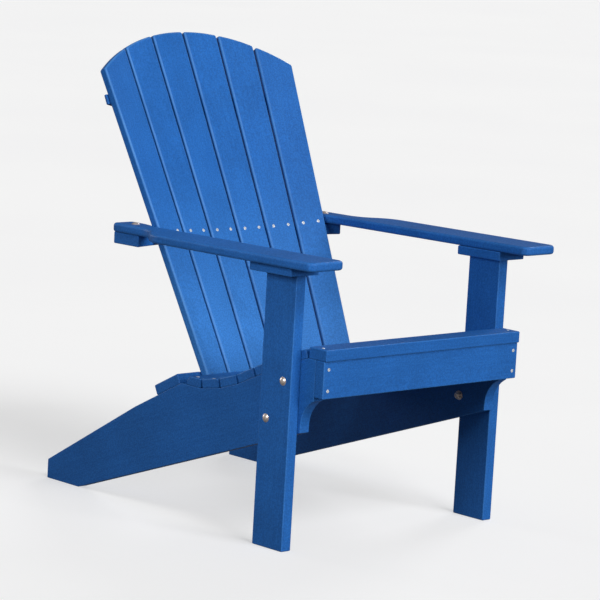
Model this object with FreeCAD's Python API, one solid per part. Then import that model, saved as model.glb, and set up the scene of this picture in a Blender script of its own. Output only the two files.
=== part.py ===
import FreeCAD, Part
import math
import os

# Adirondack chair in solid plastic lumber. Millimetres, +Z up.
# Design axes: x = 0 on the chair's middle plane, +x the sitter's left, -y the way the sitter
# faces, y = 0 at the front faces of the front legs, z = 0 on the floor.
# The pieces are moved once, on writing, so that the row's origin is the chair's bottom centre.

# ---- driving dimensions: overall -------------------------------------------------------
seat_width = 558.8            # over the outer faces of the side rails
apron_top_height = 397.0      # floor to the top of the front apron
rail_reach = 785.5            # front legs' front faces to the side rails' rear ends
back_lean = 27.5              # degrees, back slats from the vertical
back_top_rise = 790.5         # along the back, from the side rails' top to the back's top
arm_underside_height = 581.6  # floor to the arms' underside, above the legs' front faces
arm_slope = 0.85              # degrees, arms fall this much towards the rear

# ---- boards ----------------------------------------------------------------------------
leg_thickness = 25.4
leg_width = 88.9
rail_thickness = 25.4
apron_thickness = 25.4
apron_height = 76.2
apron_reach = 66.9            # legs' front faces to the apron's front face
slat_thickness = 19.05        # seat and back slats
slat_width = 50.8             # narrow seat slats
front_slat_width = 50.8
front_slat_thickness = 24.0
front_slat_overhang = 4.4     # past the apron's front face
edge_ease = 2.5               # rounding along the boards' edges
end_ease = 1.5                # rounding where many small edges meet
back_slat_ease = 5.0          # rounding of the back slats, which is larger

# ---- side rail outline -----------------------------------------------------------------
front_slat_gap = 3.8          # gaps between the front seat slats
rear_slat_gap = 6.5           # gaps between the rear seat slats
front_seat_slopes = [19.0, 23.0, 25.0]   # degrees, from the front
rear_seat_slopes = [25.0, 18.2, 10.5]
rear_landing_length = 64.0    # level stretch under the rearmost narrow slat
back_seat_length = 162.5      # sloping stretch under the lower back rail
rail_rear_height = 41.5
rail_foot_length = 106.5
rail_toe_height = 242.5       # lowest point of the rail's front end
arch_radius = 65.0            # cut-out under the apron
arch_overrun = 5.0            # the arch's centre lies this far ahead of the apron

# ---- back ------------------------------------------------------------------------------
back_slat_count = 6
slat_pitch_bottom = 72.0      # at the side rails' top
slat_pitch_top = 94.2         # at the back's top
back_slat_gap = 5.0
back_curve_radius = 1440.0    # hollow of the back, at its top
back_setback = 6.0            # middle of the back's front face, behind the landing's rear corner
back_top_radius = 444.5       # rounded top outline
slat_tail = 8.0               # back slats reach this far below the lower back rail's seat
rail_clearance = 0.3          # between the back slats and the rails that hold them
seat_clearance = 1.0          # between the rearmost seat slat and the back slats

lower_rail_thickness = 22.2
lower_rail_depth = 80.0       # at its ends
lower_rail_bow_margin = 6.0   # its hollow runs this far past the outer back slats
upper_rail_thickness = 22.2
upper_rail_rise = 634.0       # along the back, to the upper rail's middle
upper_rail_overhang = 4.5     # past the outer back slats
upper_rail_end_depth = 6.5
upper_rail_middle_depth = 42.0

# ---- arms ------------------------------------------------------------------------------
arm_thickness = 19.05
arm_width = 94.5
arm_inset = 19.4              # rails' outer face to the arm's inner edge, inwards
arm_overhang = 91.0           # arm's front end ahead of the legs' front faces
arm_rear_reach = 580.0        # legs' front faces to the arm's rear end
arm_narrowing = 52.0          # taken off the outer edge towards the rear
narrowing_start = 370.0
narrowing_end = 484.0
arm_flare = 14.0              # inner edge moves inwards at the rear end
flare_start = 462.0
flare_end = 546.0
arm_front_corner = 16.0
arm_rear_corner = 11.0
arm_edge_ease = 6.0

block_thickness = 19.05
block_width = 76.2
block_length = 122.5
block_overhang = 15.5         # ahead of the legs' front faces

arm_rail_thickness = 25.4
arm_rail_rear = 581.0         # legs' front faces to its rear edge
arm_rail_overhang = 15.1      # past the side rails' outer faces

# ---- fasteners -------------------------------------------------------------------------
screw_radius = 2.0
screw_head_radius = 3.5
screw_head_depth = 2.4
screw_head_stand = 0.5
drive_width = 2.6             # square recess in a screw's head
drive_depth = 1.7
screw_hole_clearance = 0.1
screw_bite = 24.0             # thread in the second board
thin_board_bite = 13.0        # thread where the second board is thin
bolt_radius = 3.95
bolt_head_radius = 9.0
bolt_head_height = 4.2
bolt_hole_clearance = 0.15
bolt_tail = 3.0               # thread showing past the nut
washer_radius = 10.0
washer_thickness = 1.6
nut_flats = 12.7
nut_height = 6.7
nut_chamfer = 0.9
lag_bite = 20.0               # arm bolt's thread in the arm rail
upper_bolt_inset = 23.8       # leg's front face to the upper bolt
upper_bolt_drop = 37.0        # below the side rail's top
lower_bolt_inset = 20.7       # leg's rear face to the lower bolt
lower_bolt_lift = 47.0        # above the side rail's underside
arm_bolt_lead = 46.0          # ahead of the arm rail's rear edge
apron_screw_inset = 16.5      # from the apron's top and bottom edges
back_screw_spread = 0.49      # two screws in a back slat, as a share of its width
front_slat_screw_lead = 23.5  # front slat's front edge to its screws
lower_rail_screw_margin = 22.0
block_screw_margin = 20.0
arm_screw_margin = 9.5

# ---- worked out from the above ---------------------------------------------------------
seat_half = seat_width / 2
rail_inner = seat_half - rail_thickness
rail_middle = seat_half - rail_thickness / 2
leg_outer = seat_half + leg_thickness
leg_middle = seat_half + leg_thickness / 2
apron_front = -apron_reach
apron_rear = apron_front + apron_thickness
apron_bottom_height = apron_top_height - apron_height
front_slat_front = apron_front - front_slat_overhang
front_slat_rear = front_slat_front + front_slat_width
chair_middle_y = (rail_reach - arm_overhang) / 2
arm_inner = seat_half - arm_inset
arm_outer = arm_inner + arm_width
slant = math.radians(back_lean)


def vector(x, y, z):
    return FreeCAD.Vector(x, y, z)


def tilted_frame(y, z, fall):
    """Axes whose origin is (0, y, z) and whose y axis falls by so many degrees to the rear."""
    return FreeCAD.Placement(vector(0, y, z), FreeCAD.Rotation(vector(1, 0, 0), -fall))


def placed(shape, frame):
    moved = shape.copy()
    moved.Placement = frame.multiply(moved.Placement)
    return moved


def box(x_low, x_high, y_low, y_high, z_low, z_high):
    corner = vector(x_low, y_low, z_low)
    return Part.makeBox(x_high - x_low, y_high - y_low, z_high - z_low, corner)


def eased(shape, radius):
    return shape.makeFillet(radius, shape.Edges)


def mirrored(shape):
    return shape.mirror(vector(0, 0, 0), vector(1, 0, 0))


def outline_face(start, steps):
    """A flat face; each step is the next corner, or (a point on the arc, the arc's end)."""
    edges = []
    here = start
    for step in steps + [start]:
        if isinstance(step, tuple):
            via, there = step
            edges.append(Part.Arc(here, via, there).toShape())
        else:
            there = step
            edges.append(Part.LineSegment(here, there).toShape())
        here = there
    return Part.Face(Part.Wire(edges))


# ---- side rail outline -----------------------------------------------------------------
def seat_corners():
    """Corners (y, z) of the side rail's top from the front slat to the lower back rail."""
    corners = [(front_slat_rear + front_slat_gap / 2, apron_top_height)]
    for slope in front_seat_slopes:
        corners.append(stepped(corners[-1], slat_width + front_slat_gap, slope))
    for slope in rear_seat_slopes:
        corners.append(stepped(corners[-1], slat_width + rear_slat_gap, slope))
    corners.append(stepped(corners[-1], rear_landing_length, 0.0))
    return corners


def stepped(corner, length, fall):
    run = length * math.cos(math.radians(fall))
    drop = length * math.sin(math.radians(fall))
    return (corner[0] + run, corner[1] - drop)


def height_on(start, end, y):
    share = (y - start[0]) / (end[0] - start[0])
    return start[1] + share * (end[1] - start[1])


rail_top = seat_corners()
landing_front = rail_top[-2]
landing_rear = rail_top[-1]
rail_kink = stepped(landing_rear, back_seat_length, back_lean)
arch_centre_y = apron_front - arch_overrun
arch_centre_z = apron_bottom_height - arch_radius
rail_toe_y = arch_centre_y + arch_radius
foot_front = rail_reach - rail_foot_length


def rail_top_height(y):
    for start, end in zip(rail_top, rail_top[1:]):
        if start[0] <= y <= end[0]:
            return height_on(start, end, y)
    return apron_top_height


def rail_underside_height(y):
    return height_on((rail_toe_y, rail_toe_height), (foot_front, 0.0), y)


def arch_point(turn):
    angle = math.radians(turn)
    return (arch_centre_y + arch_radius * math.cos(angle), arch_centre_z + arch_radius * math.sin(angle))


def make_side_rail():
    arch_end_turn = math.degrees(math.acos((apron_rear - arch_centre_y) / arch_radius))

    def corner(point):
        return vector(rail_inner, point[0], point[1])

    steps = [corner(point) for point in rail_top]
    steps.append(corner(rail_kink))
    steps.append(corner((rail_reach, rail_rear_height)))
    steps.append(corner((rail_reach, 0.0)))
    steps.append(corner((foot_front, 0.0)))
    steps.append(corner((rail_toe_y, rail_toe_height)))
    steps.append(corner(arch_point(0.0)))
    steps.append((corner(arch_point(arch_end_turn / 2)), corner(arch_point(arch_end_turn))))
    start = corner((apron_rear, apron_top_height))
    solid = outline_face(start, steps).extrude(vector(rail_thickness, 0, 0))
    return eased(solid, end_ease)


# ---- the arms' plane -------------------------------------------------------------------
arm_frame = tilted_frame(0.0, arm_underside_height, arm_slope)


def arm_plane_height(y, level):
    """Floor height at depth y of a plane lying so far above the arms' underside."""
    fall = math.radians(arm_slope)
    return arm_underside_height - y * math.tan(fall) + level / math.cos(fall)


def make_front_leg():
    front_top = arm_plane_height(0.0, -block_thickness)
    rear_top = arm_plane_height(leg_width, -block_thickness)
    steps = [
        vector(seat_half, leg_width, 0),
        vector(seat_half, leg_width, rear_top),
        vector(seat_half, 0, front_top),
    ]
    solid = outline_face(vector(seat_half, 0, 0), steps).extrude(vector(leg_thickness, 0, 0))
    return eased(solid, edge_ease)


def make_arm_block():
    solid = box(
        arm_inner, arm_inner + block_width,
        -block_overhang, block_length - block_overhang,
        -block_thickness, 0,
    )
    return placed(eased(solid, edge_ease), arm_frame)


def s_curve(start, end):
    """Two equal tangent arcs that leave and arrive along y; returns outline steps."""
    half_x = (end[0] - start[0]) / 2
    half_y = (end[1] - start[1]) / 2
    radius = (half_x ** 2 + half_y ** 2) / (2 * abs(half_x))
    sweep = math.asin(abs(half_y) / radius)
    bulge_x = math.copysign(radius * (1 - math.cos(sweep / 2)), half_x)
    bulge_y = math.copysign(radius * math.sin(sweep / 2), half_y)
    middle = vector(start[0] + half_x, start[1] + half_y, 0)
    first = (vector(start[0] + bulge_x, start[1] + bulge_y, 0), middle)
    second = (vector(end[0] - bulge_x, end[1] - bulge_y, 0), vector(end[0], end[1], 0))
    return [first, second]


def make_arm():
    rear_outer = arm_outer - arm_narrowing
    rear_inner = arm_inner - arm_flare
    steps = [vector(arm_outer, -arm_overhang, 0), vector(arm_outer, narrowing_start, 0)]
    steps += s_curve((arm_outer, narrowing_start), (rear_outer, narrowing_end))
    steps.append(vector(rear_outer, arm_rear_reach, 0))
    steps.append(vector(rear_inner, arm_rear_reach, 0))
    steps.append(vector(rear_inner, flare_end, 0))
    steps += s_curve((rear_inner, flare_end), (arm_inner, flare_start))
    outline = outline_face(vector(arm_inner, -arm_overhang, 0), steps)
    solid = outline.extrude(vector(0, 0, arm_thickness))
    solid = solid.makeFillet(arm_front_corner, upright_edges_at(solid, -arm_overhang))
    solid = solid.makeFillet(arm_rear_corner, upright_edges_at(solid, arm_rear_reach))
    rims = [edge for edge in solid.Edges if edge.BoundBox.ZLength < 0.01]
    return placed(solid.makeFillet(arm_edge_ease, rims), arm_frame)


def upright_edges_at(solid, y):
    found = []
    for edge in solid.Edges:
        if edge.BoundBox.ZLength > 0.5 * arm_thickness and abs(edge.CenterOfMass.y - y) < 0.01:
            found.append(edge)
    return found


# ---- the back --------------------------------------------------------------------------
# Local axes: x across, y (depth) to the rear square to the back, z (rise) up along the back.
# The front surface is a cone: the slats fan out from one point far below, and lie in planes
# through it, side by side around a hollow curve.
back_frame = tilted_frame(landing_rear[0], landing_rear[1], back_lean)
fan_rate = (slat_pitch_top - slat_pitch_bottom) / back_top_rise
slat_turn = slat_pitch_top / back_curve_radius
outer_turn = slat_turn * back_slat_count / 2


def curve_radius(rise):
    return (slat_pitch_bottom + fan_rate * rise) / slat_turn


def front_point(turn, rise):
    radius = curve_radius(rise)
    return vector(radius * math.sin(turn), back_setback - radius * (1 - math.cos(turn)), rise)


def rear_depth(x, rise):
    """Depth of the slats' rear corners at this distance from the middle."""
    radius = curve_radius(rise) + slat_thickness / math.cos(slat_turn / 2)
    return back_setback - curve_radius(rise) + math.sqrt(radius ** 2 - x ** 2) + rail_clearance


def slat_sides(number):
    """One back slat's turns at its two edges, and unit vectors across it and square to its face."""
    left_turn = (number - 1 - back_slat_count / 2) * slat_turn
    right_turn = left_turn + slat_turn
    low_left = front_point(left_turn, -slat_tail)
    low_right = front_point(right_turn, -slat_tail)
    across = (low_right - low_left).normalize()
    along = (front_point(left_turn, back_top_rise) - low_left).normalize()
    square = along.cross(across).normalize()
    return left_turn, right_turn, across, square


def make_back_slat(number):
    left_turn, right_turn, across, square = slat_sides(number)
    inset = across * (back_slat_gap / 2)
    steps = [
        front_point(right_turn, -slat_tail) - inset,
        front_point(right_turn, back_top_rise) - inset,
        front_point(left_turn, back_top_rise) + inset,
    ]
    face = outline_face(front_point(left_turn, -slat_tail) + inset, steps)
    blank = face.extrude(square * slat_thickness)
    top_round = Part.makeCylinder(
        back_top_radius, 400.0,
        vector(0, -200.0, back_top_rise - back_top_radius), vector(0, 1, 0),
    )
    return placed(eased(blank.common(top_round), back_slat_ease), back_frame)


def make_lower_rail():
    middle_rise = lower_rail_thickness / 2
    bow_half = curve_radius(middle_rise) * math.sin(outer_turn) + lower_rail_bow_margin
    end_depth = rear_depth(bow_half, middle_rise)
    rear = end_depth + lower_rail_depth
    steps = [
        vector(-bow_half, end_depth, 0),
        (vector(0, rear_depth(0, middle_rise), 0), vector(bow_half, end_depth, 0)),
        vector(seat_half, end_depth, 0),
        vector(seat_half, rear, 0),
        vector(-seat_half, rear, 0),
    ]
    face = outline_face(vector(-seat_half, end_depth, 0), steps)
    solid = face.extrude(vector(0, 0, lower_rail_thickness))
    return placed(eased(solid, edge_ease), back_frame)


def upper_rail_half():
    return curve_radius(upper_rail_rise) * math.sin(outer_turn) + upper_rail_overhang


def upper_rail_rear_depth(x):
    """The rail's rear edge, an arc through its two thin ends and its thick middle."""
    half = upper_rail_half()
    end = rear_depth(half, upper_rail_rise) + upper_rail_end_depth
    middle = rear_depth(0, upper_rail_rise) + upper_rail_middle_depth
    bulge = middle - end
    radius = (half ** 2 + bulge ** 2) / (2 * bulge)
    return middle - radius + math.sqrt(radius ** 2 - x ** 2)


def make_upper_rail():
    half = upper_rail_half()
    low = upper_rail_rise - upper_rail_thickness / 2
    end_front = rear_depth(half, upper_rail_rise)
    steps = [
        (vector(0, rear_depth(0, upper_rail_rise), low), vector(half, end_front, low)),
        vector(half, upper_rail_rear_depth(half), low),
        (vector(0, upper_rail_rear_depth(0), low), vector(-half, upper_rail_rear_depth(half), low)),
    ]
    face = outline_face(vector(-half, end_front, low), steps)
    solid = face.extrude(vector(0, 0, upper_rail_thickness))
    return placed(eased(solid, end_ease), back_frame)


# ---- arm rail: level board behind the back, under the arms' rear ends --------------------
def slats_rear_on_arm_plane(turn):
    """Point of the slats' rear corners, in the arms' axes, where they cross the arms' underside."""
    tilt = slant - math.radians(arm_slope)
    origin = arm_frame.inverse().multVec(back_frame.Base)
    low, high = 0.0, back_top_rise
    for _ in range(60):
        rise = (low + high) / 2
        radius = curve_radius(rise) + slat_thickness / math.cos(slat_turn / 2)
        depth = back_setback - curve_radius(rise) + radius * math.cos(turn) + rail_clearance
        height = origin.z + rise * math.cos(tilt) - depth * math.sin(tilt)
        if height < 0:
            low = rise
        else:
            high = rise
    return radius * math.sin(turn), origin.y + rise * math.sin(tilt) + depth * math.cos(tilt)


def arm_rail_front_depth(x):
    middle = slats_rear_on_arm_plane(0.0)[1]
    side_x, side = slats_rear_on_arm_plane(outer_turn)
    hollow = middle - side
    radius = (side_x ** 2 + hollow ** 2) / (2 * hollow)
    return middle - radius + math.sqrt(radius ** 2 - x ** 2)


arm_rail_half = seat_half + arm_rail_overhang


def make_arm_rail():
    low = -arm_rail_thickness
    end_front = arm_rail_front_depth(arm_rail_half)
    steps = [
        (vector(0, arm_rail_front_depth(0), low), vector(arm_rail_half, end_front, low)),
        vector(arm_rail_half, arm_rail_rear, low),
        vector(-arm_rail_half, arm_rail_rear, low),
    ]
    face = outline_face(vector(-arm_rail_half, end_front, low), steps)
    return placed(eased(face.extrude(vector(0, 0, arm_rail_thickness)), edge_ease), arm_frame)


# ---- seat ------------------------------------------------------------------------------
def make_apron():
    solid = box(-seat_half, seat_half, apron_front, apron_rear, apron_bottom_height, apron_top_height)
    return eased(solid, edge_ease)


def make_front_slat():
    top = apron_top_height + front_slat_thickness
    solid = box(-seat_half, seat_half, front_slat_front, front_slat_rear, apron_top_height, top)
    return eased(solid, edge_ease)


def seat_slat_frame(number):
    """Axes on the side rails' top with their origin at the middle of this slat's underside."""
    start = rail_top[number - 1]
    end = rail_top[number]
    fall = math.degrees(math.atan2(start[1] - end[1], end[0] - start[0]))
    if number == seat_slat_count:
        middle_y = start[0] + rear_slat_gap / 2 + rear_slat_width / 2
        return tilted_frame(middle_y, start[1], fall)
    return tilted_frame((start[0] + end[0]) / 2, (start[1] + end[1]) / 2, fall)


def outer_front_depth_at(z):
    """Depth y of the back's outermost front corner at a floor height."""
    low = back_frame.multVec(front_point(outer_turn, -slat_tail))
    high = back_frame.multVec(front_point(outer_turn, back_top_rise))
    return height_on((low.z, low.y), (high.z, high.y), z)


seat_slat_count = len(front_seat_slopes) + len(rear_seat_slopes) + 1
rear_slat_limit = outer_front_depth_at(landing_front[1]) - seat_clearance
rear_slat_width = min(slat_width, rear_slat_limit - landing_front[0] - rear_slat_gap / 2)


def make_seat_slat(number):
    width = rear_slat_width if number == seat_slat_count else slat_width
    solid = box(-seat_half, seat_half, -width / 2, width / 2, 0, slat_thickness)
    if number == seat_slat_count:
        rear_top = [edge for edge in solid.Edges if is_rear_top(edge, width / 2)]
        solid = solid.makeChamfer(slat_thickness / 2, rear_top)
    return placed(eased(solid, edge_ease), seat_slat_frame(number))


def is_rear_top(edge, rear):
    centre = edge.CenterOfMass
    return abs(centre.y - rear) < 0.01 and abs(centre.z - slat_thickness) < 0.01


# ---- fasteners -------------------------------------------------------------------------
# Each is built with its head on z = 0 and its shank down -z, then turned to its place.
def seat_frame(point, outward):
    return FreeCAD.Placement(point, FreeCAD.Rotation(vector(0, 0, 1), outward))


def make_screw(length):
    head = Part.makeCylinder(
        screw_head_radius, screw_head_depth + screw_head_stand, vector(0, 0, -screw_head_depth),
    )
    rim = [edge for edge in head.Edges if edge.BoundBox.ZMin > screw_head_stand - 0.01]
    head = head.makeFillet(screw_head_stand * 0.8, rim)
    shank = Part.makeCylinder(screw_radius, length, vector(0, 0, -length))
    screw = head.fuse(shank).removeSplitter()
    half = drive_width / 2
    return screw.cut(box(-half, half, -half, half, screw_head_stand - drive_depth, screw_head_stand))


def make_screw_hole(length):
    pocket_radius = screw_head_radius + screw_hole_clearance
    pocket = Part.makeCylinder(pocket_radius, 2 * screw_head_depth, vector(0, 0, -screw_head_depth))
    reach = length + screw_hole_clearance
    bore = Part.makeCylinder(screw_radius + screw_hole_clearance, reach, vector(0, 0, -reach))
    return pocket.fuse(bore)


def make_bolt(length):
    """Domed-head bolt with a shank of this length."""
    cap_radius = (bolt_head_radius ** 2 + bolt_head_height ** 2) / (2 * bolt_head_height)
    ball = Part.makeSphere(cap_radius, vector(0, 0, bolt_head_height - cap_radius))
    cap_box = box(
        -bolt_head_radius, bolt_head_radius, -bolt_head_radius, bolt_head_radius, 0, bolt_head_height,
    )
    shank = Part.makeCylinder(bolt_radius, length, vector(0, 0, -length))
    return ball.common(cap_box).fuse(shank).removeSplitter()


def make_bolt_hole(length):
    """Clear bore from above the boards down to just past the end of the shank."""
    reach = length + bolt_hole_clearance
    start = vector(0, 0, -reach)
    return Part.makeCylinder(bolt_radius + bolt_hole_clearance, reach + bolt_head_height, start)


def make_washer(grip):
    top = -grip - washer_thickness
    ring = Part.makeCylinder(washer_radius, washer_thickness, vector(0, 0, top))
    bore_radius = bolt_radius + bolt_hole_clearance
    return ring.cut(Part.makeCylinder(bore_radius, washer_thickness, vector(0, 0, top)))


def make_nut(grip):
    base = -grip - washer_thickness - nut_height
    corner_radius = nut_flats / math.sqrt(3)
    corners = []
    for index in range(6):
        angle = math.radians(60 * index)
        corners.append(vector(corner_radius * math.cos(angle), corner_radius * math.sin(angle), base))
    prism = outline_face(corners[0], corners[1:]).extrude(vector(0, 0, nut_height))
    blank = Part.makeCylinder(corner_radius, nut_height, vector(0, 0, base))
    rims = [edge for edge in blank.Edges if edge.BoundBox.ZLength < 0.01]
    turned_blank = blank.makeChamfer(nut_chamfer, rims)
    bore = Part.makeCylinder(bolt_radius + bolt_hole_clearance, nut_height, vector(0, 0, base))
    return prism.common(turned_blank).cut(bore)


pieces = {}
hardware = {}


def drive_screw(group, point, outward, length, boards):
    place = seat_frame(point, outward)
    hardware.setdefault(group, []).append(placed(make_screw(length), place))
    hole = placed(make_screw_hole(length), place)
    for node in boards:
        pieces[node] = pieces[node].cut(hole)


def drive_bolt(group, point, outward, length, boards):
    place = seat_frame(point, outward)
    hardware.setdefault(group, []).append(placed(make_bolt(length), place))
    hole = placed(make_bolt_hole(length), place)
    for node in boards:
        pieces[node] = pieces[node].cut(hole)


def fit_bolt(group, point, outward, grip, boards):
    """Bolt right through these boards, with its washer and nut on the far side."""
    length = grip + washer_thickness + nut_height + bolt_tail
    drive_bolt(group + "_bolts", point, outward, length, boards)
    place = seat_frame(point, outward)
    hardware.setdefault(group + "_washers", []).append(placed(make_washer(grip), place))
    hardware.setdefault(group + "_nuts", []).append(placed(make_nut(grip), place))


def turned(frame, direction):
    return frame.Rotation.multVec(direction)


def bolt_legs(side, x_sign):
    upper_y = upper_bolt_inset
    lower_y = leg_width - lower_bolt_inset
    heights = {
        upper_y: rail_top_height(upper_y) - upper_bolt_drop,
        lower_y: rail_underside_height(lower_y) + lower_bolt_lift,
    }
    for y, z in heights.items():
        point = vector(x_sign * leg_outer, y, z)
        boards = ["front_leg_" + side, "side_rail_" + side]
        fit_bolt("leg", point, vector(x_sign, 0, 0), leg_thickness + rail_thickness, boards)


def bolt_arm(side, x_sign):
    rear_middle = (arm_inner - arm_flare + arm_outer - arm_narrowing) / 2
    point = vector(x_sign * rear_middle, arm_rail_rear - arm_bolt_lead, arm_thickness)
    boards = ["arm_" + side, "arm_rail"]
    upward = turned(arm_frame, vector(0, 0, 1))
    drive_bolt("arm_bolts", arm_frame.multVec(point), upward, arm_thickness + lag_bite, boards)


def screw_block_and_arm(side, x_sign):
    block = "arm_block_" + side
    upward = turned(arm_frame, vector(0, 0, 1))
    for y in (block_screw_margin, leg_width - block_screw_margin):
        point = arm_frame.multVec(vector(x_sign * leg_middle, y, -screw_head_stand))
        length = block_thickness + screw_bite
        drive_screw("arm_block_screws", point, upward, length, [block, "front_leg_" + side])
    block_outer = arm_inner + block_width
    for x in (arm_inner + arm_screw_margin, block_outer - arm_screw_margin):
        for y in (block_screw_margin, leg_width - block_screw_margin):
            point = arm_frame.multVec(vector(x_sign * x, y, -block_thickness))
            length = block_thickness + thin_board_bite
            drive_screw("arm_screws", point, upward * -1, length, [block, "arm_" + side])


def screw_apron(side, x_sign):
    for z in (apron_bottom_height + apron_screw_inset, apron_top_height - apron_screw_inset):
        point = vector(x_sign * rail_middle, apron_front, z)
        length = apron_thickness + screw_bite
        boards = ["front_apron", "side_rail_" + side]
        drive_screw("apron_screws", point, vector(0, -1, 0), length, boards)


def screw_seat(side, x_sign):
    rail = "side_rail_" + side
    for number in range(1, seat_slat_count + 1):
        frame = seat_slat_frame(number)
        point = frame.multVec(vector(x_sign * rail_middle, 0, slat_thickness))
        length = slat_thickness + screw_bite
        boards = [f"seat_slat_{number}", rail]
        drive_screw("seat_screws", point, turned(frame, vector(0, 0, 1)), length, boards)
    top = apron_top_height + front_slat_thickness
    point = vector(x_sign * rail_middle, front_slat_front + front_slat_screw_lead, top)
    length = front_slat_thickness + apron_screw_inset - screw_head_radius - screw_radius
    drive_screw("seat_screws", point, vector(0, 0, 1), length, ["front_seat_slat", "front_apron"])


def screw_lower_rail(side, x_sign):
    end_depth = rear_depth(0, 0) - slat_thickness
    for depth in (end_depth + lower_rail_screw_margin, lower_rail_depth - lower_rail_screw_margin):
        point = back_frame.multVec(vector(x_sign * rail_middle, depth, lower_rail_thickness))
        length = lower_rail_thickness + screw_bite
        boards = ["lower_back_rail", "side_rail_" + side]
        drive_screw("lower_rail_screws", point, turned(back_frame, vector(0, 0, 1)), length, boards)


def screw_back_slat(number):
    node = f"back_slat_{number}"
    left_turn, right_turn, across, square = slat_sides(number)
    outward = turned(back_frame, square * -1)
    rail_front_middle = vector(0, arm_rail_front_depth(0), -arm_rail_thickness / 2)
    arm_rail_rise = back_frame.inverse().multVec(arm_frame.multVec(rail_front_middle)).z
    rows = [
        ("slat_foot_screws", "lower_back_rail", lower_rail_thickness / 2),
        ("back_slat_screws", "arm_rail", arm_rail_rise),
    ]
    length = slat_thickness + screw_bite
    for group, rail, rise in rows:
        middle = (front_point(left_turn, rise) + front_point(right_turn, rise)) * 0.5
        half_spread = (front_point(right_turn, rise) - middle).Length * back_screw_spread
        for step in (-half_spread, half_spread):
            point = back_frame.multVec(middle + across * step)
            drive_screw(group, point, outward, length, [node, rail])
    middle = (front_point(left_turn, upper_rail_rise) + front_point(right_turn, upper_rail_rise)) * 0.5
    rear = upper_rail_rear_depth(middle.x)
    point = back_frame.multVec(vector(middle.x, rear, upper_rail_rise))
    length = rear - middle.y - slat_thickness + thin_board_bite
    rearward = turned(back_frame, vector(0, 1, 0))
    drive_screw("upper_rail_screws", point, rearward, length, ["upper_back_rail", node])


def build():
    for side, x_sign in (("left", 1), ("right", -1)):
        paired = {
            "side_rail": make_side_rail(),
            "front_leg": make_front_leg(),
            "arm_block": make_arm_block(),
            "arm": make_arm(),
        }
        for name, shape in paired.items():
            pieces[name + "_" + side] = shape if x_sign > 0 else mirrored(shape)
    pieces["front_apron"] = make_apron()
    pieces["front_seat_slat"] = make_front_slat()
    for number in range(1, seat_slat_count + 1):
        pieces[f"seat_slat_{number}"] = make_seat_slat(number)
    for number in range(1, back_slat_count + 1):
        pieces[f"back_slat_{number}"] = make_back_slat(number)
    pieces["lower_back_rail"] = make_lower_rail()
    pieces["upper_back_rail"] = make_upper_rail()
    pieces["arm_rail"] = make_arm_rail()
    for side, x_sign in (("left", 1), ("right", -1)):
        bolt_legs(side, x_sign)
        bolt_arm(side, x_sign)
        screw_block_and_arm(side, x_sign)
        screw_apron(side, x_sign)
        screw_seat(side, x_sign)
        screw_lower_rail(side, x_sign)
    for number in range(1, back_slat_count + 1):
        screw_back_slat(number)


def write(node, shape):
    shape.translate(vector(0, -chair_middle_y, 0))
    shape.exportStep(f"parts/{node}.step")
    size = shape.BoundBox
    print(f"{node:20s} solids {len(shape.Solids)} valid {shape.isValid()}", end=" ")
    print(f"x {size.XMin:.1f} {size.XMax:.1f} y {size.YMin:.1f} {size.YMax:.1f}", end=" ")
    print(f"z {size.ZMin:.1f} {size.ZMax:.1f}")


os.makedirs("parts", exist_ok=True)
build()
for node, shape in pieces.items():
    write(node, shape)
for node, solids in hardware.items():
    write(node, Part.makeCompound(solids))
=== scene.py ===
"""Looks for the blue adirondack chair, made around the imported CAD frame.

Every board keeps its CAD shape and gets a plastic-lumber material of its own, whose grain runs
along that board. Bolts, washers, nuts and screws get their own metals. The only new piece is
the floor. Sizes are in metres.
"""

import math

import bpy
import numpy as np
from mathutils import Matrix, Vector


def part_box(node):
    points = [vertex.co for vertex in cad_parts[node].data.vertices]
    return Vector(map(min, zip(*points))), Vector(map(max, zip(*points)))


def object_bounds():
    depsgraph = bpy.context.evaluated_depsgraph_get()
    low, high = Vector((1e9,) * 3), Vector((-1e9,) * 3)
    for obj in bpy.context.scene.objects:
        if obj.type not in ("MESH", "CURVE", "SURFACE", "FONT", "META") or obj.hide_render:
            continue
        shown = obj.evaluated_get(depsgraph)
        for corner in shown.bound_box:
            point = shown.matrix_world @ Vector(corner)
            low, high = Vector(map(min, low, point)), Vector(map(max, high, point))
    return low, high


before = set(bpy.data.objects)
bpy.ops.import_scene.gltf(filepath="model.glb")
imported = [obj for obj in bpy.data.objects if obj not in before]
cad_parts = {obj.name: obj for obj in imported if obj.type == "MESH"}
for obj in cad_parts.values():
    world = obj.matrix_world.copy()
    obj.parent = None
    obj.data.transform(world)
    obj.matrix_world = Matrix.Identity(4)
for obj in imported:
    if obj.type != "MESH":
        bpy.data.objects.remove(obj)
cad_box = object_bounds()

WHITE = (1.0, 1.0, 1.0, 1.0)

# Noise comes as (detail, roughness). A ramp is (low, high) or (low, high, at low, at high).
BROAD_NOISE = (3.0, 0.55)
FINE_NOISE = (2.0, 0.60)

# Plastic lumber: a moulded-in blue with paler and darker specks.
BLUE = (0.0165, 0.1170, 0.400, 1.0)
DEEP_BLUE = (0.0138, 0.1050, 0.372, 1.0)
PALE_BLUE = (0.0450, 0.2030, 0.550, 1.0)
# The pale blue of the edges: partly wear, partly a painted highlight on the eased edges.
WORN_AND_HIGHLIT_EDGE_BLUE = (0.0700, 0.2400, 0.570, 1.0)
STREAK = (0.34, 0.66)
PEBBLE_SHADE = (0.32, 0.68, 0.84, 1.14)
CLOUD_SHADE = (0.30, 0.70, 0.93, 1.06)
FLECK_PALENESS = (0.56, 0.70, 0.0, 0.45)

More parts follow.
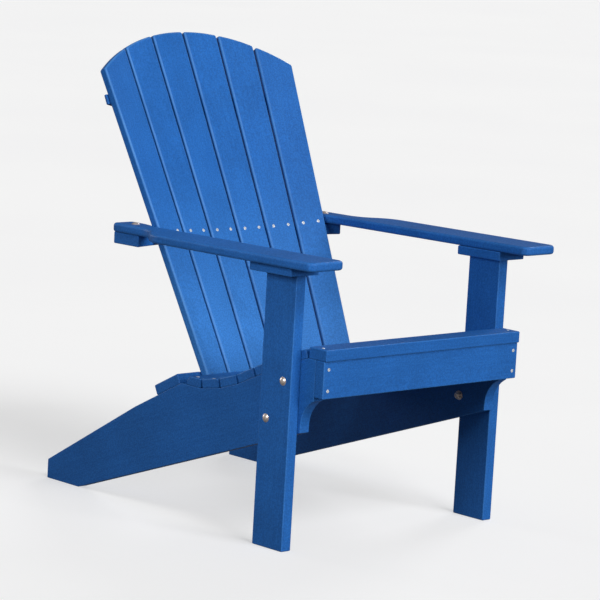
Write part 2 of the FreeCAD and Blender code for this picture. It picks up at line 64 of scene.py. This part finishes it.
# How wide each mark in the lumber is, and how tall it stands.
PEBBLE = 0.0034
FLECK = 0.0015
CLOUD = 0.110
GRAIN_LENGTH = 0.090
GRAIN_WIDTH = 0.0032
SAW_MARK = 0.0024
PEBBLE_HEIGHT = 0.00012
FLECK_HEIGHT = 0.00005
GRAIN_HEIGHT = 0.00002
SAW_HEIGHT = 0.00004
BOARD_SHIFT = Vector((1.0, 2.0, 3.0))

# The lumber's gloss. A face counts as a sawn end where it looks along its board.
LUMBER_SHINE = 0.14
LUMBER_ROUGHNESS = (0.30, 0.70, 0.52, 0.42)
SAWN_FACING = (0.90, 0.98)
SAWN_ROUGHER = 0.14
WORN_SMOOTHER = 0.20

# Wear and painted highlight: how pale the edges of each kind of board are painted, partly as wear and
# partly as a painted highlight on their rounding, more in some patches than others.
EDGE_WEAR_AND_HIGHLIGHT = {"back": 0.75, "seat": 0.45, "arm": 0.18}
OTHER_WEAR_AND_HIGHLIGHT = 0.30
WEAR_AND_HIGHLIGHT_PATCHES = (0.35, 0.60)
WEAR_AND_HIGHLIGHT_LEVELS = (0.0, 1.0, 0.70, 1.0)

# Painted light: the back slats are painted paler towards the seat, where more light falls on them;
# this stops a set distance below their tops.
PAINTED_LIGHT_BOARDS = "back_slat"
BACK_PAINTED_LIGHT = 0.75
PAINTED_LIGHT_END = 0.22

# Metals: each look is how metallic the metal is, how rough, and how deep its scratches are.
BOLT_TINT = (0.78, 0.68, 0.61, 1.0)
BOLT_DULL = (0.46, 0.37, 0.33, 1.0)
BOLT_LOOK = (0.70, 0.34, 0.000010)
SCREW_TINT = (0.80, 0.83, 0.86, 1.0)
SCREW_DULL = (0.48, 0.52, 0.57, 1.0)
SCREW_LOOK = (0.40, 0.30, 0.000006)
PAINTED_LOOK = (0.0, 0.45, 0.000020)
PAINTED_SCREWS = "slat_foot_screws"

# Marks on the metals: dull patches and grit, by how many fit in a metre.
TARNISH_SCALE = 260.0
TARNISH_NOISE = (3.0, 0.60)
TARNISH = (0.40, 0.72)
TARNISH_ROUGHER = 0.12
GRIT_SCALE = 1800.0
GRIT = (0.30, 0.70)
GRIT_SMOOTHER = 0.06
GRIT_ROUGHER = 0.08

# The floor glows a little, as a light table does, so its shadows stay pale.
FLOOR_PALE = (0.50, 0.50, 0.50, 1.0)
FLOOR_MARK = (0.48, 0.48, 0.485, 1.0)
FLOOR_MARK_SCALE = 0.8
FLOOR_MARKS = (0.30, 0.70)
FLOOR_GRIT_SCALE = 90.0
FLOOR_ROUGHNESS = (0.30, 0.70, 0.82, 0.92)
FLOOR_SHINE = 0.20
FLOOR_GLOW = 0.54
FLOOR_REACH = 80.0

# The pale surround: how much light it gives, and how bright the camera sees it.
WORLD_LIGHT = 0.13
WORLD_SEEN = 0.90

# Each lamp: degrees round from the chair's front, degrees up, and strength.
SUNS = {
    "front_high": (-10.0, 45.0, 0.40),
    "front_low": (10.0, 16.0, 0.60),
    "side_left": (110.0, 25.0, 0.22),
    "rear": (-170.0, 10.0, 0.16),
}
SUN_SPREAD = 20.0
# A square lamp near the chair lights the sitter's right side more than the left.
SOFTBOX = (-70.0, 20.0, 0.42)
SOFTBOX_DISTANCE = 2.6
SOFTBOX_SIDE = 0.9

# The camera: its direction from the chair, how far it stands, and how it is tilted.
CAMERA_AZIMUTH = -43.48
CAMERA_ELEVATION = 8.64
CAMERA_ROLL = 3.3
CAMERA_DISTANCE = 6.735
CAMERA_LENS = 189.97
SENSOR = 36.0
CAMERA_REACH = 4.0 * FLOOR_REACH
AIM_FROM_MIDDLE = Vector((0.0145, -0.0230, -0.0449))


# ---------------------------------------------------------------- node helpers

def add_node(tree, kind, inputs=None, **settings):
    """A shader node; an input is a plain value or another node's output."""
    made = tree.nodes.new("ShaderNode" + kind)
    for name, value in settings.items():
        setattr(made, name, value)
    for name, value in (inputs or {}).items():
        if isinstance(value, bpy.types.NodeSocket):
            tree.links.new(value, made.inputs[name])
        else:
            made.inputs[name].default_value = value
    return made


def maths(tree, operation, first, second=0.0):
    """One number made from one or two others."""
    return add_node(tree, "Math", {0: first, 1: second}, operation=operation).outputs[0]


def dot(tree, vector, axis):
    """How far vector reaches along axis."""
    return add_node(tree, "VectorMath", {0: vector, 1: axis}, operation="DOT_PRODUCT").outputs[1]


def noise(tree, place, scale, kind):
    """Noise whose features are 1 / scale across."""
    detail, roughness = kind
    settings = {"Vector": place, "Scale": scale, "Detail": detail, "Roughness": roughness}
    return add_node(tree, "TexNoise", settings).outputs[0]


def ramp(tree, value, low, high, at_low=0.0, at_high=1.0):
    """value moved smoothly from low..high to at_low..at_high, and held beyond both ends."""
    limits = {0: value, 1: low, 2: high, 3: at_low, 4: at_high}
    return add_node(tree, "MapRange", limits, interpolation_type="SMOOTHSTEP").outputs[0]


def mixed(tree, factor, first, second, blend="MIX"):
    """Colours first and second, mixed by factor."""
    inputs = {0: factor, 6: first, 7: second}
    return add_node(tree, "Mix", inputs, data_type="RGBA", blend_type=blend).outputs[2]


def start_material(name):
    """A new material and its tree, emptied but for the shader and the output."""
    material = bpy.data.materials.new(name)
    material.use_nodes = True
    tree = material.node_tree
    tree.nodes.clear()
    shader = add_node(tree, "BsdfPrincipled")
    add_node(tree, "OutputMaterial", {"Surface": shader.outputs[0]})
    return material, tree, shader


def finish_surface(tree, shader, colour, rough, height):
    """Wires a colour, a roughness and a height in metres into the shader."""
    bump = add_node(tree, "Bump", {"Strength": 1.0, "Distance": 1.0, "Height": height})
    tree.links.new(colour, shader.inputs["Base Color"])
    tree.links.new(rough, shader.inputs["Roughness"])
    tree.links.new(bump.outputs[0], shader.inputs["Normal"])


# ---------------------------------------------------------------- plastic lumber

def board_axes(node):
    """The directions along, across and through a board, from how its corners are spread."""
    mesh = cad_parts[node].data
    corners = np.array([v.co for v in mesh.vertices])
    _, directions = np.linalg.eigh(np.cov(corners.T))
    through, across, along = directions.T
    return Vector(along), Vector(across), Vector(through)


def board_place(tree, axes, seed):
    """Places measured along, across and through a board, shifted so that no two boards match."""
    place = add_node(tree, "TexCoord").outputs["Object"]
    parts = [dot(tree, place, axis) for axis in axes]
    turned = add_node(tree, "CombineXYZ", dict(enumerate(parts))).outputs[0]
    return add_node(tree, "VectorMath", {0: turned, 1: seed * BOARD_SHIFT}).outputs[0]


def lumber_grain(tree, place):
    """Long thin streaks that run along the board."""
    squeeze = Vector((1.0 / GRAIN_LENGTH, 1.0 / GRAIN_WIDTH, 1.0 / GRAIN_WIDTH))
    stretched = add_node(tree, "VectorMath", {0: place, 1: squeeze}, operation="MULTIPLY").outputs[0]
    return noise(tree, stretched, 1.0, BROAD_NOISE)


def eased_edge(tree, normal, through):
    """1 on the rounding between a board's faces and its edges, 0 on the flats.

    With square as the squared cosine of the tilt, square * (1 - square) is a quarter at most.
    """
    tilt = maths(tree, "ABSOLUTE", dot(tree, normal, through))
    square = maths(tree, "MULTIPLY", tilt, tilt)
    rest = maths(tree, "SUBTRACT", 1.0, square)
    both = maths(tree, "MULTIPLY", square, rest)
    return maths(tree, "MULTIPLY", both, 4.0)


def edge_wear_and_highlight(tree, node, normal, through, cloud):
    """How pale a board's edges are painted: partly wear, partly a painted highlight, and more in some
    patches than in others.
    """
    most = EDGE_WEAR_AND_HIGHLIGHT.get(node.split("_")[0], OTHER_WEAR_AND_HIGHLIGHT)
    worn_and_highlit = maths(tree, "MULTIPLY", eased_edge(tree, normal, through), most)
    patches = ramp(tree, cloud, *WEAR_AND_HIGHLIGHT_PATCHES)
    return maths(tree, "MULTIPLY", worn_and_highlit, ramp(tree, patches, *WEAR_AND_HIGHLIGHT_LEVELS))


def back_painted_light(tree, node):
    """How much painted light a back slat gets: most at its foot, none near its top."""
    low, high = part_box(node)
    place = add_node(tree, "TexCoord").outputs["Object"]
    height = add_node(tree, "SeparateXYZ", {0: place}).outputs[2]
    return ramp(tree, height, low.z, high.z - PAINTED_LIGHT_END, BACK_PAINTED_LIGHT, 0.0)


def lumber_colour(tree, base, pebble, fleck, cloud, worn_and_highlit):
    """The base blue, mottled by pebbles and clouds, with paler flecks and pale edges that are partly
    wear and partly a painted highlight.
    """
    shade = ramp(tree, pebble, *PEBBLE_SHADE)
    tone = ramp(tree, cloud, *CLOUD_SHADE)
    level = maths(tree, "MULTIPLY", shade, tone)
    grey = add_node(tree, "CombineColor", {0: level, 1: level, 2: level}).outputs[0]
    colour = mixed(tree, 1.0, base, grey, "MULTIPLY")
    colour = mixed(tree, ramp(tree, fleck, *FLECK_PALENESS), colour, PALE_BLUE)
    # Edges painted paler: partly wear, partly a painted highlight.
    return mixed(tree, worn_and_highlit, colour, WORN_AND_HIGHLIT_EDGE_BLUE)


def lumber_height(tree, grain, pebble, fleck, sawn, place):
    """Height of the moulded skin: pebbles, fine grit, grain, and saw marks on cut ends."""
    skin = maths(tree, "MULTIPLY", pebble, PEBBLE_HEIGHT)
    grit = maths(tree, "MULTIPLY", fleck, FLECK_HEIGHT)
    lines = maths(tree, "MULTIPLY", grain, GRAIN_HEIGHT)
    height = maths(tree, "ADD", maths(tree, "ADD", skin, grit), lines)
    across = add_node(tree, "SeparateXYZ", {0: place}).outputs[1]
    turns = maths(tree, "SINE", maths(tree, "MULTIPLY", across, 2.0 * math.pi / SAW_MARK))
    cut = maths(tree, "MULTIPLY", maths(tree, "MULTIPLY", turns, sawn), SAW_HEIGHT)
    return maths(tree, "ADD", height, cut)


def lumber_roughness(tree, pebble, sawn, worn_and_highlit):
    """Roughness of the lumber: more on cut ends, less on the pale edges."""
    rough = ramp(tree, pebble, *LUMBER_ROUGHNESS)
    rough = maths(tree, "ADD", rough, maths(tree, "MULTIPLY", sawn, SAWN_ROUGHER))
    return maths(tree, "SUBTRACT", rough, maths(tree, "MULTIPLY", worn_and_highlit, WORN_SMOOTHER))


def lumber_material(node, seed):
    """The blue plastic lumber of one board."""
    material, tree, shader = start_material("lumber_" + node)
    along, across, through = board_axes(node)
    place = board_place(tree, (along, across, through), seed)
    normal = add_node(tree, "TexCoord").outputs["Normal"]

    grain = lumber_grain(tree, place)
    pebble = noise(tree, place, 1.0 / PEBBLE, FINE_NOISE)
    fleck = noise(tree, place, 1.0 / FLECK, FINE_NOISE)
    cloud = noise(tree, place, 1.0 / CLOUD, BROAD_NOISE)
    # The pale edges: partly wear, partly a painted highlight.
    worn_and_highlit = edge_wear_and_highlight(tree, node, normal, through, cloud)
    sawn = ramp(tree, maths(tree, "ABSOLUTE", dot(tree, normal, along)), *SAWN_FACING)

    base = mixed(tree, ramp(tree, grain, *STREAK), DEEP_BLUE, BLUE)
    # Painted light: back slats painted paler towards their feet, where more light falls.
    if node.startswith(PAINTED_LIGHT_BOARDS):
        base = mixed(tree, back_painted_light(tree, node), base, PALE_BLUE)
    colour = lumber_colour(tree, base, pebble, fleck, cloud, worn_and_highlit)
    rough = lumber_roughness(tree, pebble, sawn, worn_and_highlit)
    finish_surface(tree, shader, colour, rough, lumber_height(tree, grain, pebble, fleck, sawn, place))
    shader.inputs["Specular IOR Level"].default_value = LUMBER_SHINE
    return material


# ---------------------------------------------------------------- metals

def metal_material(name, bright, dull, metallic, roughness, scratch):
    """Plated or painted steel with a faint grain, dulled in patches."""
    material, tree, shader = start_material(name)
    place = add_node(tree, "TexCoord").outputs["Object"]
    grit = noise(tree, place, GRIT_SCALE, FINE_NOISE)
    tarnish = ramp(tree, noise(tree, place, TARNISH_SCALE, TARNISH_NOISE), *TARNISH)
    colour = mixed(tree, tarnish, bright, dull)
    spread = ramp(tree, grit, *GRIT, roughness - GRIT_SMOOTHER, roughness + GRIT_ROUGHER)
    rough = maths(tree, "ADD", spread, maths(tree, "MULTIPLY", tarnish, TARNISH_ROUGHER))
    finish_surface(tree, shader, colour, rough, maths(tree, "MULTIPLY", grit, scratch))
    shader.inputs["Metallic"].default_value = metallic
    return material


def bolt_material():
    """Warm plated steel for the bolts, washers and nuts."""
    return metal_material("bolt_steel_warm", BOLT_TINT, BOLT_DULL, *BOLT_LOOK)


def screw_material():
    """Bright plated steel for the screws."""
    return metal_material("screw_steel_bright", SCREW_TINT, SCREW_DULL, *SCREW_LOOK)


def painted_screw_material():
    """Screws painted to match the lumber."""
    return metal_material("screw_steel_painted", PALE_BLUE, BLUE, *PAINTED_LOOK)


# ---------------------------------------------------------------- dressing the CAD nodes

def dress_chair():
    """Gives each CAD node its material: a board its own lumber, the hardware its metal."""
    metals = {"bolt_steel": bolt_material(), "screw_steel": screw_material()}
    for seed, node in enumerate(sorted(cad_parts)):
        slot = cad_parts[node].material_slots[0]
        finish = slot.material.name.split(".")[0]
        slot.material = metals.get(finish) or lumber_material(node, seed)
    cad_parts[PAINTED_SCREWS].material_slots[0].material = painted_screw_material()


# ---------------------------------------------------------------- floor

def floor_material():
    """A matt pale floor with the faintest unevenness."""
    material, tree, shader = start_material("floor_pale")
    place = add_node(tree, "TexCoord").outputs["Object"]
    marks = ramp(tree, noise(tree, place, FLOOR_MARK_SCALE, BROAD_NOISE), *FLOOR_MARKS)
    grit = noise(tree, place, FLOOR_GRIT_SCALE, FINE_NOISE)
    tree.links.new(mixed(tree, marks, FLOOR_PALE, FLOOR_MARK), shader.inputs["Base Color"])
    tree.links.new(ramp(tree, grit, *FLOOR_ROUGHNESS), shader.inputs["Roughness"])
    shader.inputs["Specular IOR Level"].default_value = FLOOR_SHINE
    shader.inputs["Emission Color"].default_value = WHITE
    shader.inputs["Emission Strength"].default_value = FLOOR_GLOW
    return material


def make_floor():
    """A wide plain floor at the chair's feet, which lights nothing itself."""
    reach = FLOOR_REACH
    corners = [(-reach, -reach, 0.0), (reach, -reach, 0.0), (reach, reach, 0.0), (-reach, reach, 0.0)]
    mesh = bpy.data.meshes.new("floor")
    mesh.from_pydata(corners, [], [(0, 1, 2, 3)])
    floor = bpy.data.objects.new("floor", mesh)
    bpy.context.scene.collection.objects.link(floor)
    floor.location.z = cad_box[0][2]
    floor.data.materials.append(floor_material())
    floor.visible_diffuse = False
    floor.visible_glossy = False


# ---------------------------------------------------------------- light

def direction(azimuth, elevation):
    """The direction azimuth degrees round from the chair's front and elevation degrees up."""
    turn = math.radians(azimuth)
    rise = math.radians(elevation)
    return Vector((math.sin(turn) * math.cos(rise), -math.cos(turn) * math.cos(rise), math.sin(rise)))


def chair_middle():
    """The middle of the chair's box."""
    return (Vector(cad_box[0]) + Vector(cad_box[1])) / 2.0


def chair_collection():
    """The chair's pieces in one collection, so that a lamp can light them and not the floor."""
    pieces = bpy.data.collections.new("chair")
    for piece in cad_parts.values():
        pieces.objects.link(piece)
    return pieces


def make_lamp(name, light, outward):
    """A lamp that shines back along outward, the direction from the chair to it."""
    lamp = bpy.data.objects.new(name, light)
    lamp.rotation_euler = outward.to_track_quat("Z", "Y").to_euler()
    bpy.context.scene.collection.objects.link(lamp)
    return lamp


def make_sun(name, azimuth, elevation, strength):
    """A distant light; strength 1 fully lights a white face that looks straight at it."""
    light = bpy.data.lights.new(name, "SUN")
    light.energy = strength * math.pi
    light.angle = math.radians(SUN_SPREAD)
    make_lamp(name, light, direction(azimuth, elevation))


def make_softbox(azimuth, elevation, strength):
    """A square lamp that lights a white face at the chair's middle with this strength."""
    light = bpy.data.lights.new("softbox", "AREA")
    light.size = SOFTBOX_SIDE
    light.energy = strength * (math.pi * SOFTBOX_DISTANCE) ** 2
    outward = direction(azimuth, elevation)
    lamp = make_lamp("softbox", light, outward)
    lamp.location = chair_middle() + outward * SOFTBOX_DISTANCE
    lamp.visible_camera = False
    lamp.light_linking.receiver_collection = chair_collection()


def make_lights():
    """Soft lamps in front of the chair, at its left and behind it, and a softbox at its right."""
    for name, (azimuth, elevation, strength) in SUNS.items():
        make_sun(name, azimuth, elevation, strength)
    make_softbox(*SOFTBOX)


def make_world():
    """An even pale surround, brighter where the camera looks straight at it."""
    world = bpy.data.worlds.new("studio")
    world.use_nodes = True
    tree = world.node_tree
    tree.nodes.clear()
    lit = add_node(tree, "Background", {"Color": WHITE, "Strength": WORLD_LIGHT})
    seen = add_node(tree, "Background", {"Color": WHITE, "Strength": WORLD_SEEN})
    path = add_node(tree, "LightPath").outputs["Is Camera Ray"]
    both = add_node(tree, "MixShader", {0: path, 1: lit.outputs[0], 2: seen.outputs[0]})
    add_node(tree, "OutputWorld", {"Surface": both.outputs[0]})
    bpy.context.scene.world = world


# ---------------------------------------------------------------- camera and sizes

def make_camera():
    """A long lens, turned and tilted towards a point a little below the chair's middle."""
    target = chair_middle() + AIM_FROM_MIDDLE
    back = direction(CAMERA_AZIMUTH, CAMERA_ELEVATION)
    lens = bpy.data.cameras.new("camera")
    lens.lens = CAMERA_LENS
    lens.sensor_width = SENSOR
    lens.clip_end = CAMERA_REACH
    camera = bpy.data.objects.new("camera", lens)
    level = back.to_track_quat("Z", "Y").to_matrix()
    roll = Matrix.Rotation(math.radians(CAMERA_ROLL), 3, "Z")
    camera.matrix_world = (level @ roll).to_4x4()
    camera.location = target + back * CAMERA_DISTANCE
    bpy.context.scene.collection.objects.link(camera)
    bpy.context.scene.camera = camera


dress_chair()
make_floor()
make_lights()
make_world()
make_camera()
bpy.context.scene.view_settings.view_transform = "Standard"
